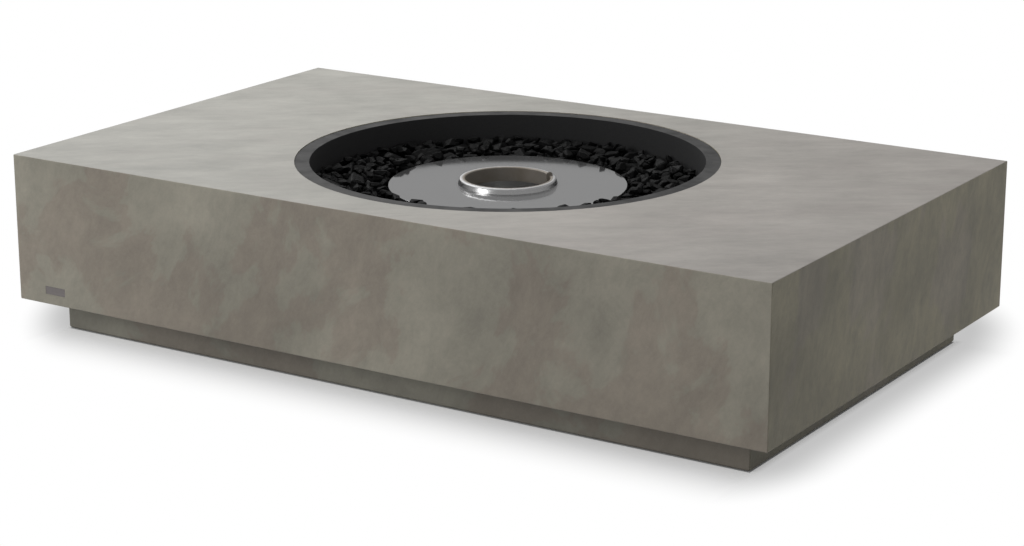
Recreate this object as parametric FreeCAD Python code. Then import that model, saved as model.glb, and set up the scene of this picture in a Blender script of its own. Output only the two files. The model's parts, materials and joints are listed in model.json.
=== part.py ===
import FreeCAD, Part
import math
import os
import random

from FreeCAD import Rotation, Vector

# Fire pit table: a hollow concrete block on an inset plinth. A round steel pan in its top holds
# dark stones and a liquid-fuel burner. Millimetres: X runs along the long side, -Y is the front,
# Z is up, and the origin is on the floor under the middle of the table.

# Concrete block
table_length = 1270.0
table_width = 762.0
block_height = 225.0
slab_thickness = 25.0
apron_thickness = 20.0
block_arris = 1.5
inner_corner_radius = 12.0
rib_width = 40.0
rib_depth = 15.0

# Plinth and the rubber pads let into its underside
plinth_height = 51.2
plinth_inset = 50.0
plinth_wall = 25.0
plinth_foot_radius = 4.0
plinth_corner_radius = 2.0
pad_stand = 0.8
pad_thickness = 3.0
pad_length = 60.0
pad_width = 12.0
pad_peg_radius = 4.0
pad_peg_height = 10.0
bolt_from_plinth_end = 120.0

# Fire pan, sunk in the round hole of the slab
hole_radius = 317.0
flange_width = 22.0
flange_sink = 1.0
pan_sheet = 2.0
shelf_drop = 72.0
shelf_bend = 5.0
well_bend = 3.0
gasket_width = 9.0
gasket_thickness = 2.0
drain_radius = 4.0
drains_on_a_ring = 4

# Burner
plate_radius = 178.5
plate_drop = 40.0
plate_sheet = 2.0
plate_skirt = 7.0
tank_radius = 165.0
tank_height = 88.0
tank_sheet = 1.2
tank_bend = 8.0
burner_foot_radius = 9.0
burner_foot_height = 4.0
burner_foot_circle = 120.0
burner_feet_count = 4
throat_radius = 66.5
throat_length = 55.0
throat_sheet = 1.5
screen_sheet = 1.2
screen_hole_radius = 3.0
screen_ring_pitch = 14.0
screen_rings = 4
lug_height = 12.0
lug_width = 24.0
lug_thickness = 2.5
lugs_count = 3

# Ring round the burner's mouth
ring_mouth_radius = 63.5
ring_crown_radius = 71.8
ring_hem_radius = 74.6
ring_hem_height = 1.8
ring_hem_bend = 0.8
ring_height = 9.6
ring_spigot = 12.0
ring_sheet = 1.2
ring_crown_bend = 3.4
ring_mouth_bend = 1.8
tab_width = 10.0
tab_height = 15.0
tab_thickness = 1.5
tab_drop = 2.0
tab_angle = 43.0

# Stones on the pan's shelf, in rings round the burner
stone_ring_counts = (33, 39, 45)
stone_heights = ((29.0, 44.0), (31.0, 44.0), (34.0, 45.0))
stone_seed = 11

# Steel frame under the slab
rail_width = 60.0
rail_height = 40.0
rail_wall = 2.5
rail_corner_radius = 4.0
cross_rail_x = 180.0

# Angle cleats between the frame and the aprons
cleat_width = 50.0
cleat_rise = 40.0
cleat_leg = 28.0
cleat_sheet = 4.0
cleat_bolt_rise = 24.0
cleat_from_end_x = 215.0
cleat_from_end_y = 211.0

# Heat shield on posts over the cross rails
shield_radius = 240.0
shield_rim = 10.0
shield_sheet = 1.2
shield_bend = 3.0
post_radius = 9.0
post_y = 110.0

# Blank badge on the front
badge_length = 38.0
badge_height = 12.0
badge_thickness = 1.5
badge_from_end = 71.0
badge_below_top = 203.0
badge_pin_radius = 1.25
badge_pin_length = 8.0
badge_pin_spacing = 24.0

# Fasteners: shank radius, head height, width across the flats, washer radius and thickness
m8 = {"shank": 4.0, "head": 5.3, "flats": 13.0, "washer": 8.0, "washer_sheet": 1.6}
m10 = {"shank": 5.0, "head": 6.4, "flats": 16.0, "washer": 10.5, "washer_sheet": 2.0}
m5 = {"shank": 2.5, "head": 3.5, "flats": 8.0}
apron_insert_radius = 6.5
apron_insert_length = 14.0
plinth_insert_radius = 8.0
plinth_insert_length = 30.0
shield_screw_length = 12.0
cleat_bolt_end_gap = 1.0
plinth_bolt_end_gap = 4.0

# Clearances
flange_gap = 0.5
pan_side_gap = 7.5
well_gap = 7.0
rail_gap = 0.5
shield_gap = 25.0
stone_gap = 1.0
plate_stone_gap = 2.0
ring_gap = 0.3
cast_gap = 0.05
hole_gap = 0.5
badge_gap = 0.2
gasket_gap = 1.5
wall_stone_gap = 3.0
edge_break = 0.5
cut_past = 1.0
tiny = 0.01

# Places worked out from the sizes above
block_bottom = pad_stand + plinth_height
table_top = block_bottom + block_height
slab_underside = table_top - slab_thickness
inner_length = table_length - 2 * apron_thickness
inner_width = table_width - 2 * apron_thickness
plinth_length = table_length - 2 * plinth_inset
plinth_width = table_width - 2 * plinth_inset
flange_radius = hole_radius - flange_gap
pan_radius = flange_radius - flange_width
slab_hole_radius = pan_radius + pan_sheet + pan_side_gap
flange_top = table_top - flange_sink
rebate_floor = flange_top - pan_sheet - gasket_thickness
shelf_top = table_top - shelf_drop
plate_top = table_top - plate_drop
plate_underside = plate_top - plate_sheet
tank_bottom = plate_underside - tank_height
well_floor = tank_bottom - burner_foot_height
well_radius = tank_radius + well_gap
throat_bottom = plate_underside - throat_length
mouth_radius = ring_mouth_radius + ring_sheet + ring_gap
rail_top = block_bottom + rail_height
long_rail_length = inner_length - 2 * inner_corner_radius
short_rail_length = inner_width - 2 * rail_gap - 2 * rail_width
long_rail_y = (inner_width - rail_width) / 2 - rail_gap
short_rail_x = (inner_length - rail_width) / 2 - rail_gap
shield_floor = well_floor - pan_sheet - shield_gap
post_height = shield_floor - shield_sheet - rail_top
cleat_x = table_length / 2 - cleat_from_end_x
cleat_y = table_width / 2 - cleat_from_end_y


def tube(inner, outer, low, high):
    """An upright tube from z = low to z = high."""
    base = Vector(0, 0, low)
    return Part.makeCylinder(outer, high - low, base).cut(
        Part.makeCylinder(inner, high - low, base)
    )


def block(length, width, low, high):
    """A box centred on the Z axis."""
    corner = Vector(-length / 2, -width / 2, low)
    return Part.makeBox(length, width, high - low, corner)


def fillet_edges(solid, radius, wanted):
    """Rounds the straight edges whose direction and middle point the test accepts."""
    chosen = []
    for edge in solid.Edges:
        run = edge.Vertexes[-1].Point - edge.Vertexes[0].Point
        if run.Length > 0 and wanted(run.normalize(), edge.CenterOfMass):
            chosen.append(edge)
    return solid.makeFillet(radius, chosen)


def move(shape, x, y, z=0.0, turn=0.0):
    """A copy of the shape, turned about Z and then moved."""
    moved = shape.copy()
    place = FreeCAD.Placement(Vector(x, y, z), Rotation(Vector(0, 0, 1), turn))
    moved.Placement = place.multiply(shape.Placement)
    return moved


def at_stations(shape, stations):
    """One copy of the shape at each (x, y, turn), as separate solids."""
    return Part.makeCompound([move(shape, x, y, 0, turn) for x, y, turn in stations])


def around(shape, count, radius, first_turn=0.0):
    """Copies of the shape on a circle, each turned to face the middle."""
    stations = []
    for index in range(count):
        turn = first_turn + index * 360.0 / count
        across = math.radians(turn)
        stations.append((radius * math.cos(across), radius * math.sin(across), turn))
    return at_stations(shape, stations)


def rounded_wire(corners):
    """A closed wire in the XZ plane through (r, z, radius) corners, each rounded to its radius."""
    edges = []
    points = [Vector(r, 0, z) for r, z, radius in corners]
    starts = []
    ends = []
    for index, (r, z, radius) in enumerate(corners):
        here = points[index]
        back = (points[index - 1] - here).normalize()
        ahead = (points[(index + 1) % len(points)] - here).normalize()
        if radius <= 0:
            starts.append(here)
            ends.append(here)
            continue
        half = back.getAngle(ahead) / 2
        reach = radius / math.tan(half)
        middle = (back + ahead).normalize()
        bulge = here + middle * (radius / math.sin(half) - radius)
        starts.append(here + back * reach)
        ends.append(here + ahead * reach)
        edges.append((index, Part.Arc(starts[-1], bulge, ends[-1]).toShape()))
    arcs = dict(edges)
    ordered = []
    for index in range(len(points)):
        if index in arcs:
            ordered.append(arcs[index])
        following = (index + 1) % len(points)
        if (starts[following] - ends[index]).Length > 1e-6:
            ordered.append(Part.LineSegment(ends[index], starts[following]).toShape())
    return Part.Wire(ordered)


def turned(corners):
    """A solid of revolution about Z from a closed (r, z, radius) section."""
    section = Part.Face(rounded_wire(corners))
    return section.revolve(Vector(0, 0, 0), Vector(0, 0, 1), 360)


def bent_sheet(path, thickness):
    """A turned sheet-metal part. The path is one face of the sheet, as (r, z, inside bend radius)
    corners, and the sheet lies on its left, so that every bend keeps the same thickness. A corner
    without a bend is welded square, with its outer edge eased."""
    runs = []
    for (r0, z0, _), (r1, z1, _) in zip(path, path[1:]):
        length = math.hypot(r1 - r0, z1 - z0)
        runs.append(((r1 - r0) / length, (z1 - z0) / length))
    face_side = []
    far_side = []
    for index, (r, z, bend) in enumerate(path):
        before = runs[max(index - 1, 0)]
        after = runs[min(index, len(runs) - 1)]
        turn = before[0] * after[1] - before[1] * after[0]
        spread = 1 + before[0] * after[0] + before[1] * after[1]
        far_r = r - thickness * (before[1] + after[1]) / spread
        far_z = z + thickness * (before[0] + after[0]) / spread
        outer_bend = bend + thickness if bend else edge_break
        face_side.append((r, z, outer_bend if turn > 0 else bend))
        far_side.append((far_r, far_z, outer_bend if turn < 0 else bend))
    return turned(face_side + far_side[::-1])


def hexagon(flats, low, high):
    """A hexagonal bolt head from z = low to z = high."""
    corner = flats / math.sqrt(3)
    points = [
        Vector(corner * math.cos(k * math.pi / 3), corner * math.sin(k * math.pi / 3), low)
        for k in range(7)
    ]
    return Part.Face(Part.makePolygon(points)).extrude(Vector(0, 0, high - low))


def bolt(size, seat, tip):
    """An upright bolt: its head stands on z = seat and its shank ends at z = tip."""
    head = hexagon(size["flats"], seat, seat + size["head"])
    shank = Part.makeCylinder(size["shank"], seat - tip, Vector(0, 0, tip))
    return head.fuse(shank).removeSplitter()


def washer(size, seat):
    """A plain washer lying on z = seat."""
    bore = size["shank"] + hole_gap
    return tube(bore, size["washer"], seat, seat + size["washer_sheet"])


# Stations that several pieces share

def plinth_stations():
    """The plinth's bolts and pads: (x, y, turn) on the middle line of its wall."""
    side_x = plinth_length / 2 - bolt_from_plinth_end
    side_y = (plinth_width - plinth_wall) / 2
    end_x = (plinth_length - plinth_wall) / 2
    stations = [(end_x, 0.0, 90.0), (-end_x, 0.0, 90.0)]
    for y in (-side_y, side_y):
        for x in (-side_x, 0.0, side_x):
            stations.append((x, y, 0.0))
    return stations


def apron_stations():
    """The cleats: (x, y, turn) on the aprons' inner faces, with local +Y pointing inwards."""
    stations = []
    for x in (-cleat_x, 0.0, cleat_x):
        stations.append((x, -inner_width / 2, 0.0))
        stations.append((x, inner_width / 2, 180.0))
    for y in (-cleat_y, cleat_y):
        stations.append((-inner_length / 2, y, -90.0))
        stations.append((inner_length / 2, y, 90.0))
    return stations


def post_stations():
    """The heat shield's posts, over the cross rails."""
    return [(x, y, 0.0) for x in (-cross_rail_x, cross_rail_x) for y in (-post_y, post_y)]


def into_apron(shape):
    """Lays an upright fastener along local +Y at the cleat's bolt height, with z = 0 on the
    apron's inner face."""
    laid = shape.copy()
    lay = Rotation(Vector(1, 0, 0), -90)
    laid.Placement = FreeCAD.Placement(Vector(0, 0, rail_top + cleat_bolt_rise), lay)
    return laid


# Concrete

def badge_place(shape):
    """Moves a shape drawn about the badge's middle, with +Y into the concrete, to its place."""
    x = badge_from_end - table_length / 2
    return move(shape, x, -table_width / 2, table_top - badge_below_top)


def badge_pin_holes(radius, length):
    """Two round bars behind the badge."""
    bars = []
    for x in (-badge_pin_spacing / 2, badge_pin_spacing / 2):
        start = Vector(x, badge_gap + badge_thickness, 0)
        bars.append(Part.makeCylinder(radius, length, start, Vector(0, 1, 0)))
    return Part.makeCompound(bars)


def make_table_shell():
    outside = block(table_length, table_width, block_bottom, table_top)
    outside = fillet_edges(outside, block_arris, lambda run, middle: True)
    inside = block(inner_length, inner_width, block_bottom - cut_past, slab_underside)
    inside = fillet_edges(inside, inner_corner_radius, lambda run, middle: abs(run.z) > 0.9)
    shell = outside.cut(inside)
    rib = tube(
        slab_hole_radius, slab_hole_radius + rib_width, slab_underside - rib_depth, slab_underside
    )
    shell = shell.fuse(rib.common(block(inner_length, inner_width, block_bottom, table_top)))
    shell = shell.cut(
        Part.makeCylinder(slab_hole_radius, table_top, Vector(0, 0, block_bottom))
    )
    shell = shell.cut(Part.makeCylinder(hole_radius, table_top, Vector(0, 0, rebate_floor)))
    insert_hole = Part.makeCylinder(
        apron_insert_radius + cast_gap, apron_insert_length, Vector(0, 0, -apron_insert_length)
    )
    shell = shell.cut(at_stations(into_apron(insert_hole), apron_stations()))
    depth = badge_gap + badge_thickness
    recess = Part.makeBox(
        badge_length + 2 * badge_gap,
        depth + cut_past,
        badge_height + 2 * badge_gap,
        Vector(-badge_length / 2 - badge_gap, -cut_past, -badge_height / 2 - badge_gap),
    )
    shell = shell.cut(badge_place(recess))
    pins = badge_pin_holes(badge_pin_radius + cast_gap, badge_pin_length)
    return shell.cut(badge_place(pins)).removeSplitter()


def make_plinth():
    outside = block(plinth_length, plinth_width, pad_stand, block_bottom)
    outside = fillet_edges(
        outside, plinth_corner_radius, lambda run, middle: abs(run.z) > 0.9
    )
    foot = [edge for edge in outside.Edges if edge.BoundBox.ZMax < pad_stand + tiny]
    outside = outside.makeFillet(plinth_foot_radius, foot)
    inside = block(
        plinth_length - 2 * plinth_wall, plinth_width - 2 * plinth_wall, 0, table_top
    )
    inside = fillet_edges(inside, inner_corner_radius, lambda run, middle: abs(run.z) > 0.9)
    ring = outside.cut(inside)
    insert_hole = Part.makeCylinder(
        plinth_insert_radius + cast_gap,
        plinth_insert_length + cut_past,
        Vector(0, 0, block_bottom - plinth_insert_length),
    )
    pocket = pad_outline(hole_gap)
    peg_hole = Part.makeCylinder(pad_peg_radius + cast_gap, pad_thickness + pad_peg_height)
    ring = ring.cut(at_stations(insert_hole, plinth_stations()))
    return ring.cut(at_stations(pocket.fuse(peg_hole), plinth_stations()))


def pad_outline(gap):
    """A round-cornered strip, grown all round by the gap."""
    strip = block(pad_length + 2 * gap, pad_width + 2 * gap, 0, pad_thickness)
    return fillet_edges(strip, pad_width / 3 + gap, lambda run, middle: abs(run.z) > 0.9)


def make_foot_pads():
    peg = Part.makeCylinder(pad_peg_radius, pad_peg_height, Vector(0, 0, pad_thickness))
    return at_stations(pad_outline(0).fuse(peg), plinth_stations())


def make_badge():
    plate = Part.makeBox(
        badge_length,
        badge_thickness,
        badge_height,
        Vector(-badge_length / 2, badge_gap, -badge_height / 2),
    )
    plate = fillet_edges(plate, badge_thickness / 2, lambda run, middle: abs(run.y) > 0.9)
    return badge_place(plate)


def make_badge_pins():
    return badge_place(badge_pin_holes(badge_pin_radius, badge_pin_length))


# Steel frame and what joins it to the concrete

def box_rail(length):
    """A hollow rail along X, centred, standing on z = block_bottom."""
    along = lambda run, middle: abs(run.x) > 0.9
    outside = block(length, rail_width, block_bottom, rail_top)
    outside = fillet_edges(outside, rail_corner_radius, along)
    inside = block(
        length + 2 * cut_past, rail_width - 2 * rail_wall, block_bottom + rail_wall, rail_top - rail_wall
    )
    inside = fillet_edges(inside, rail_corner_radius - rail_wall / 2, along)
    return outside.cut(inside)


def bolt_holes(rails):
    """Clears the plinth's bolts through the rails."""
    drill = Part.makeCylinder(
        m10["shank"] + hole_gap,
        rail_height + 2 * cut_past,
        Vector(0, 0, block_bottom - cut_past),
    )
    return rails.cut(at_stations(drill, plinth_stations()))


def make_long_rails():
    stations = [(0, -long_rail_y, 0), (0, long_rail_y, 0)]
    return bolt_holes(at_stations(box_rail(long_rail_length), stations))


def make_short_rails():
    stations = [(-short_rail_x, 0, 90), (short_rail_x, 0, 90)]
    return bolt_holes(at_stations(box_rail(short_rail_length), stations))


def make_cross_rails():
    stations = [(-cross_rail_x, 0, 90), (cross_rail_x, 0, 90)]
    rails = at_stations(box_rail(short_rail_length), stations)
    tapping = Part.makeCylinder(
        m5["shank"] + cast_gap, rail_wall + cut_past, Vector(0, 0, rail_top - rail_wall)
    )
    return rails.cut(at_stations(tapping, post_stations()))


def make_cleats():
    upstand = Part.makeBox(
        cleat_width, cleat_sheet, cleat_rise, Vector(-cleat_width / 2, 0, rail_top)
    )
    foot = Part.makeBox(
        cleat_width, cleat_leg, cleat_sheet, Vector(-cleat_width / 2, 0, rail_top)
    )
    cleat = upstand.fuse(foot).removeSplitter()
    inner_bend = lambda run, middle: (
        abs(run.x) > 0.9
        and abs(middle.y - cleat_sheet) < tiny
        and abs(middle.z - rail_top - cleat_sheet) < tiny
    )
    cleat = fillet_edges(cleat, cleat_sheet, inner_bend)
    drill = Part.makeCylinder(m8["shank"] + hole_gap, 2 * cleat_sheet, Vector(0, 0, -cut_past))
    return at_stations(cleat.cut(into_apron(drill)), apron_stations())


def make_cleat_washers():
    return at_stations(into_apron(washer(m8, cleat_sheet)), apron_stations())


def make_cleat_bolts():
    seat = cleat_sheet + m8["washer_sheet"]
    one = bolt(m8, seat, cleat_bolt_end_gap - apron_insert_length)
    return at_stations(into_apron(one), apron_stations())


def make_apron_inserts():
    one = tube(m8["shank"] + cast_gap, apron_insert_radius, -apron_insert_length, 0)
    return at_stations(into_apron(one), apron_stations())


def make_plinth_washers():
    return at_stations(washer(m10, rail_top), plinth_stations())


def make_plinth_bolts():
    tip = block_bottom - plinth_insert_length + plinth_bolt_end_gap
    one = bolt(m10, rail_top + m10["washer_sheet"], tip)
    return at_stations(one, plinth_stations())


def make_plinth_inserts():
    low = block_bottom - plinth_insert_length
    one = tube(m10["shank"] + cast_gap, plinth_insert_radius, low, block_bottom)
    return at_stations(one, plinth_stations())


def make_heat_shield():
    path = [
        (shield_radius, shield_floor + shield_rim, 0),
        (shield_radius, shield_floor, shield_bend),
        (0, shield_floor, 0),
    ]
    shield = bent_sheet(path, shield_sheet)
    drill = Part.makeCylinder(
        m5["shank"] + hole_gap, 4 * shield_sheet, Vector(0, 0, shield_floor - 2 * shield_sheet)
    )
    return shield.cut(at_stations(drill, post_stations()))


def make_shield_posts():
    one = tube(m5["shank"] + cast_gap, post_radius, rail_top, rail_top + post_height)
    return at_stations(one, post_stations())


def make_shield_screws():
    one = bolt(m5, shield_floor, shield_floor - shield_screw_length)
    return at_stations(one, post_stations())


# Fire pan

def make_rim_gasket():
    outer = hole_radius - gasket_gap
    return tube(outer - gasket_width, outer, rebate_floor, rebate_floor + gasket_thickness)


def make_fire_pan():
    path = [
        (flange_radius, flange_top, 0),
        (pan_radius, flange_top, 0),
        (pan_radius, shelf_top, shelf_bend),
        (well_radius, shelf_top, well_bend),
        (well_radius, well_floor, well_bend),
        (0, well_floor, 0),
    ]
    pan = bent_sheet(path, pan_sheet)
    drill = Part.makeCylinder(drain_radius, 4 * pan_sheet, Vector(0, 0, -2 * pan_sheet))
    shelf_middle = (pan_radius + well_radius) / 2
    shelf_drains = around(drill, drains_on_a_ring, shelf_middle, 45)
    well_drains = around(drill, drains_on_a_ring, well_radius / 2, 45)
    pan = pan.cut(move(shelf_drains, 0, 0, shelf_top))
    return pan.cut(move(well_drains, 0, 0, well_floor))


def make_burner_lugs():
    """Upright lugs on the well's floor that keep the tank in the middle."""
    flat_edge = well_radius - well_bend
    outer_face = math.sqrt(flat_edge**2 - (lug_width / 2) ** 2)
    corner = Vector(-lug_thickness, -lug_width / 2, well_floor)
    lug = Part.makeBox(lug_thickness, lug_width, lug_height, corner)
    return around(lug, lugs_count, outer_face, 90)


# Burner

def make_burner_tank():
    path = [
        (0, tank_bottom, 0),
        (tank_radius, tank_bottom, tank_bend),
        (tank_radius, plate_underside, 0),
    ]
    return bent_sheet(path, tank_sheet)


def make_burner_feet():
    foot = Part.makeCylinder(
        burner_foot_radius, burner_foot_height, Vector(0, 0, well_floor)
    )
    return around(foot, burner_feet_count, burner_foot_circle, 0)


def make_burner_plate():
    path = [
        (plate_radius, plate_top - plate_skirt, 0),
        (plate_radius, plate_top, 0),
        (mouth_radius, plate_top, 0),
    ]
    return bent_sheet(path, plate_sheet)


def make_throat_tube():
    return tube(throat_radius, throat_radius + throat_sheet, throat_bottom, plate_underside)


def make_flame_screen():
    low = throat_bottom - screen_sheet
    screen = Part.makeCylinder(
        throat_radius + throat_sheet, screen_sheet, Vector(0, 0, low)
    )
    drill = Part.makeCylinder(screen_hole_radius, 3 * screen_sheet, Vector(0, 0, low - screen_sheet))
    screen = screen.cut(drill)
    for ring in range(1, screen_rings + 1):
        screen = screen.cut(around(drill, 6 * ring, ring * screen_ring_pitch))
    return screen


def make_burner_ring():
    """A spun ring: an upright hem stands on the plate, and a spigot hangs in the mouth."""
    crown = plate_top + ring_height
    hem = plate_top + ring_hem_height
    wall = ring_mouth_radius + ring_sheet
    foot = plate_top - ring_spigot
    section = [
        (ring_hem_radius, plate_top, 0),
        (ring_hem_radius, hem, ring_hem_bend),
        (ring_crown_radius, crown, ring_crown_bend),
        (ring_mouth_radius, crown, ring_mouth_bend),
        (ring_mouth_radius, foot, 0),
        (wall, foot, 0),
        (wall, crown - ring_sheet, ring_mouth_bend - ring_sheet),
        (ring_crown_radius - ring_sheet, crown - ring_sheet, ring_crown_bend - ring_sheet),
        (ring_hem_radius - ring_sheet, plate_top, 0),
    ]
    return turned(section)


def make_ring_tab():
    """A round-ended ear across the ring's crown and inner wall, to lift the ring by."""
    crown = plate_top + ring_height
    wall = math.sqrt(ring_mouth_radius**2 - (tab_thickness / 2) ** 2)
    end_radius = tab_width / 2
    side = -tab_thickness / 2
    straight = tab_height - tab_width
    low = crown - tab_drop - straight / 2
    ear = Part.makeBox(tab_width, tab_thickness, straight, Vector(wall - end_radius, side, low))
    for middle in (low, low + straight):
        end = Part.makeCylinder(end_radius, tab_thickness, Vector(wall, side, middle), Vector(0, 1, 0))
        ear = ear.fuse(end)
    ring_side = Part.makeBox(
        tab_width, 3 * tab_thickness, tab_height, Vector(wall, 3 * side, crown - tab_height)
    )
    return move(ear.removeSplitter().cut(ring_side), 0, 0, 0, tab_angle)


# Stones

def stone_outline(half_radial, half_across, rng):
    """Corners near the edge of a rectangular cell, none of them outside it."""
    sides = rng.choice((6, 7, 7, 8))
    start = rng.uniform(0, math.tau)
    corners = []
    for side in range(sides):
        angle = start + (side + rng.uniform(-0.2, 0.2)) * math.tau / sides
        across, up = math.cos(angle), math.sin(angle)
        reach = min(1.2, 1 / max(abs(across), abs(up))) * rng.uniform(0.84, 1.0)
        x = max(-1.0, min(1.0, reach * across))
        y = max(-1.0, min(1.0, reach * up))
        corners.append((half_radial * x, half_across * y))
    return corners


def stone(half_radial, half_across, height, rng):
    """One broken stone, flat underneath: three like outlines one above the other, the top one
    shifted, with its top split off on a slant."""
    outline = stone_outline(half_radial, half_across, rng)
    top_size = rng.uniform(0.52, 0.7)
    shift_x = rng.uniform(-0.9, 0.9) * (1 - top_size) * half_radial
    shift_y = rng.uniform(-0.9, 0.9) * (1 - top_size) * half_across
    girdle = rng.uniform(0.35, 0.55) * height
    rings = []
    for z, size, lean in ((0.0, rng.uniform(0.7, 0.85), 0), (girdle, 1.0, 0), (height, top_size, 1)):
        rings.append([Vector(x * size + lean * shift_x, y * size + lean * shift_y, z) for x, y in outline])
    faces = [Part.Face(Part.makePolygon(ring + ring[:1])) for ring in (rings[0], rings[-1])]
    for lower, upper in zip(rings, rings[1:]):
        for here in range(len(outline)):
            ahead = (here + 1) % len(outline)
            side = [lower[here], lower[ahead], upper[ahead], upper[here], lower[here]]
            faces.append(Part.Face(Part.makePolygon(side)))
    body = Part.Solid(Part.Shell(faces))
    reach = 2 * (half_radial + half_across)
    split = Part.makeBox(reach, reach, height, Vector(-reach / 2, -reach / 2, 0))
    slope = Rotation(Vector(1, 0, 0), rng.uniform(12, 28))
    heading = Rotation(Vector(0, 0, 1), rng.uniform(0, 360))
    start = Vector(0, 0, rng.uniform(0.8, 0.95) * height)
    split.Placement = FreeCAD.Placement(start, heading.multiply(slope))
    return body.cut(split)


def make_stone_ring(index):
    """One ring of stones, each in a cell of its own so that none touch."""
    inner = plate_radius + plate_stone_gap
    outer = pan_radius - wall_stone_gap
    depth = (outer - inner) / len(stone_ring_counts)
    low_radius = inner + index * depth
    middle = low_radius + depth / 2
    count = stone_ring_counts[index]
    half_radial = (depth - stone_gap) / 2
    half_across = low_radius * math.tan(math.pi / count) - stone_gap / 2
    rng = random.Random(stone_seed + index)
    stones = []
    for place in range(count):
        turn = (place + 0.5 * (index % 2)) * 360.0 / count
        one = stone(half_radial, half_across, rng.uniform(*stone_heights[index]), rng)
        stones.append(move(one, middle, 0, shelf_top))
        stones[-1].rotate(Vector(0, 0, 0), Vector(0, 0, 1), turn)
    return Part.makeCompound(stones)


pieces = {
    "table_shell": make_table_shell,
    "plinth": make_plinth,
    "foot_pads": make_foot_pads,
    "blank_badge": make_badge,
    "badge_pins": make_badge_pins,
    "frame_long_rails": make_long_rails,
    "frame_short_rails": make_short_rails,
    "frame_cross_rails": make_cross_rails,
    "apron_cleats": make_cleats,
    "cleat_washers": make_cleat_washers,
    "cleat_bolts": make_cleat_bolts,
    "apron_inserts": make_apron_inserts,
    "plinth_washers": make_plinth_washers,
    "plinth_bolts": make_plinth_bolts,
    "plinth_inserts": make_plinth_inserts,
    "heat_shield": make_heat_shield,
    "shield_posts": make_shield_posts,
    "shield_screws": make_shield_screws,
    "rim_gasket": make_rim_gasket,
    "fire_pan": make_fire_pan,
    "burner_lugs": make_burner_lugs,
    "burner_tank": make_burner_tank,
    "burner_feet": make_burner_feet,
    "burner_plate": make_burner_plate,
    "throat_tube": make_throat_tube,
    "flame_screen": make_flame_screen,
    "burner_ring": make_burner_ring,
    "ring_tab": make_ring_tab,
}
stone_ring_names = ("stones_inner_ring", "stones_middle_ring", "stones_outer_ring")

os.makedirs("parts", exist_ok=True)
shapes = {name: make() for name, make in pieces.items()}
for index, name in enumerate(stone_ring_names):
    shapes[name] = make_stone_ring(index)
for name, shape in shapes.items():
    shape.exportStep("parts/" + name + ".step")
    print(name, len(shape.Solids), "solids", round(shape.Volume / 1000.0, 1), "cm3", shape.isValid())
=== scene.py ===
import json
import math
import random

import bmesh
import bpy
import numpy as np
from mathutils import Matrix, Vector


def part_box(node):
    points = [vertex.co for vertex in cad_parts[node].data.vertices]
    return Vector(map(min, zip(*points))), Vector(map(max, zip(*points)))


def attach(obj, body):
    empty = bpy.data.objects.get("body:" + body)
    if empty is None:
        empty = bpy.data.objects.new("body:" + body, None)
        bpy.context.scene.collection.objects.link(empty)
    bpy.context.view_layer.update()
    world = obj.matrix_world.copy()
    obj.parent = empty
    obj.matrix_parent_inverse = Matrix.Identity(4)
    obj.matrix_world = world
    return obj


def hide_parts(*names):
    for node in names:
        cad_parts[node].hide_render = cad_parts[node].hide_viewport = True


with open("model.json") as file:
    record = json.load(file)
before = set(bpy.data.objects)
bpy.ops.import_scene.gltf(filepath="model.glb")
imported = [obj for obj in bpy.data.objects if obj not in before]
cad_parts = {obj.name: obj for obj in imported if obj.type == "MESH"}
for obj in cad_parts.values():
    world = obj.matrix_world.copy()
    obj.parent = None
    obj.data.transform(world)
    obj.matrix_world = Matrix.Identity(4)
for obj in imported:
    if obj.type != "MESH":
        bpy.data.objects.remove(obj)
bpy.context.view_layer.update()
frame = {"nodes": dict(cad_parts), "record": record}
nodes = frame["nodes"]
print("frame loaded:", len(nodes), "nodes")


# small helpers for the shader trees

def feed(tree, socket, value):
    if isinstance(value, bpy.types.NodeSocket):
        tree.links.new(value, socket)
    else:
        socket.default_value = value


def calc(tree, operation, first, second=0.0, third=0.0):
    node = tree.nodes.new("ShaderNodeMath")
    node.operation = operation
    for socket, value in zip(node.inputs, (first, second, third)):
        feed(tree, socket, value)
    return node.outputs[0]


def vectorCalc(tree, operation, first, second=(0, 0, 0)):
    node = tree.nodes.new("ShaderNodeVectorMath")
    node.operation = operation
    feed(tree, node.inputs[0], first)
    feed(tree, node.inputs[1], second)
    return node.outputs[1] if operation == "LENGTH" else node.outputs[0]


def joined(tree, x, y, z):
    node = tree.nodes.new("ShaderNodeCombineXYZ")
    for socket, value in zip(node.inputs, (x, y, z)):
        feed(tree, socket, value)
    return node.outputs[0]


def parted(tree, vector):
    node = tree.nodes.new("ShaderNodeSeparateXYZ")
    feed(tree, node.inputs[0], vector)
    return node.outputs[0], node.outputs[1], node.outputs[2]


def blend(tree, factor, first, second, mode="MIX"):
    node = tree.nodes.new("ShaderNodeMix")
    node.data_type = "RGBA"
    node.blend_type = mode
    feed(tree, node.inputs[0], factor)
    for socket, value in ((node.inputs[6], first), (node.inputs[7], second)):
        feed(tree, socket, (*value, 1.0) if isinstance(value, tuple) else value)
    return node.outputs[2]


def blendVector(tree, factor, first, second):
    node = tree.nodes.new("ShaderNodeMix")
    node.data_type = "VECTOR"
    feed(tree, node.inputs[0], factor)
    feed(tree, node.inputs[4], first)
    feed(tree, node.inputs[5], second)
    return node.outputs[1]


def lighten(tree, colour, light):
    return blend(tree, 1.0, colour, joined(tree, light, light, light), "MULTIPLY")


def noise(tree, where, scale, detail=3.0, roughness=0.55, distortion=0.0):
    node = tree.nodes.new("ShaderNodeTexNoise")
    feed(tree, node.inputs["Vector"], where)
    feed(tree, node.inputs["Scale"], scale)
    node.inputs["Detail"].default_value = detail
    node.inputs["Roughness"].default_value = roughness
    node.inputs["Distortion"].default_value = distortion
    return node.outputs[0]


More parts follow.
